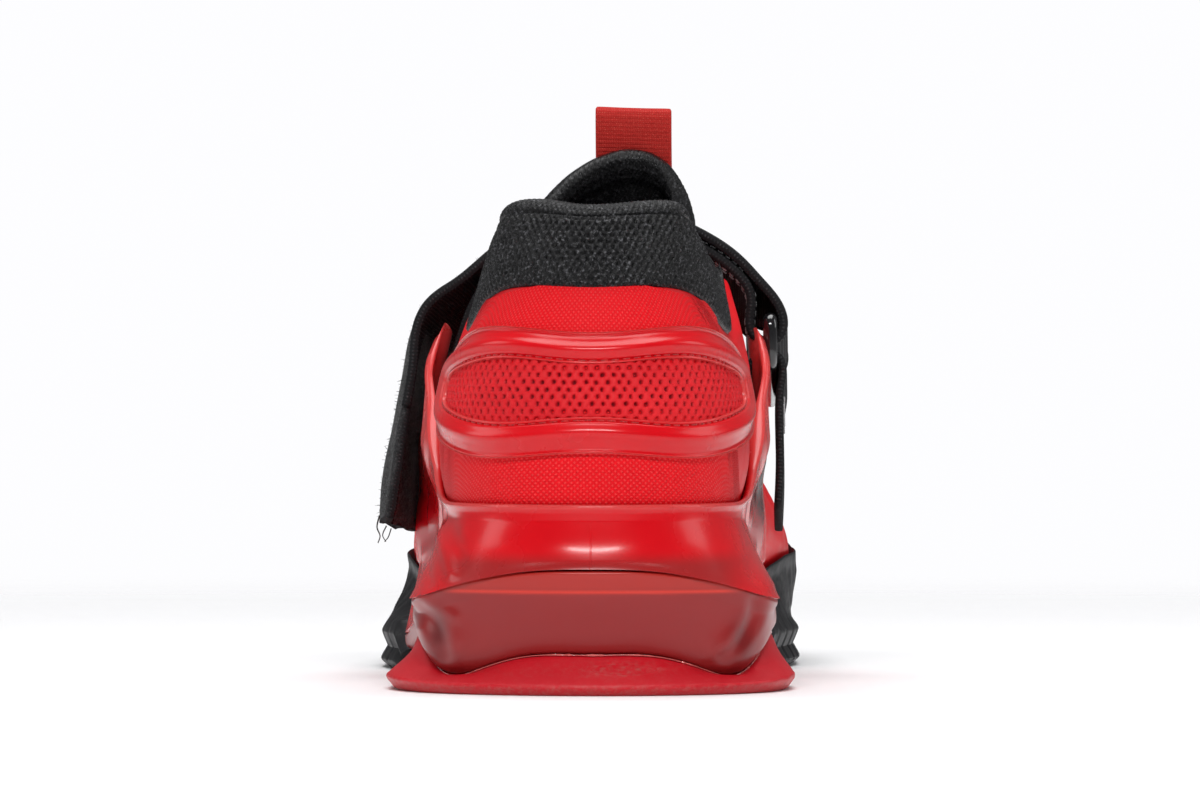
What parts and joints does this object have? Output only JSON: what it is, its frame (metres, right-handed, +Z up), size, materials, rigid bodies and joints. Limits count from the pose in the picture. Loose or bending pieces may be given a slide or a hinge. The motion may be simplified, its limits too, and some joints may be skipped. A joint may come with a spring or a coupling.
{
  "type": "weightlifting shoe",
  "caption": "Left weightlifting shoe with a raised heel block, moulded heel cage, ripstop fabric upper, padded collar and tongue, laces and a hook-and-loop instep strap.",
  "frame": {"origin": "centre of the bounding box on the floor, z = 0 under both treads", "axes": "+Y from the heel to the toe, +X to the inner (medial) side of the foot, +Z up"},
  "size_m": [0.11, 0.296, 0.1439],
  "materials": {
    "upper_red": "satin ripstop weave",
    "black_mesh": "matte padded mesh",
    "red_moulding": "glossy, slightly translucent",
    "heel_block": "glossy, slightly translucent",
    "red_rubber": "satin",
    "black_rubber": "matte",
    "sole_foam": "matte",
    "insole_cloth": "matte",
    "red_webbing": "matte ribbed",
    "black_webbing": "matte woven",
    "black_plastic": "glossy"
  },
  "bodies": {
    "root": {"upper": "upper_red", "collar": "black_mesh", "counter_band": "red_moulding", "heel_cage": "red_moulding", "heel_wedge": "heel_block", "heel_outsole": "red_rubber", "forefoot_outsole": "black_rubber", "midsole": "sole_foam", "insole": "insole_cloth", "tongue": "black_mesh", "pull_loop": "red_webbing", "strap": "black_webbing", "strap_ring": "black_plastic", "ring_tab": "black_webbing", "laces": "black_webbing"}
  },
  "joints": []
}
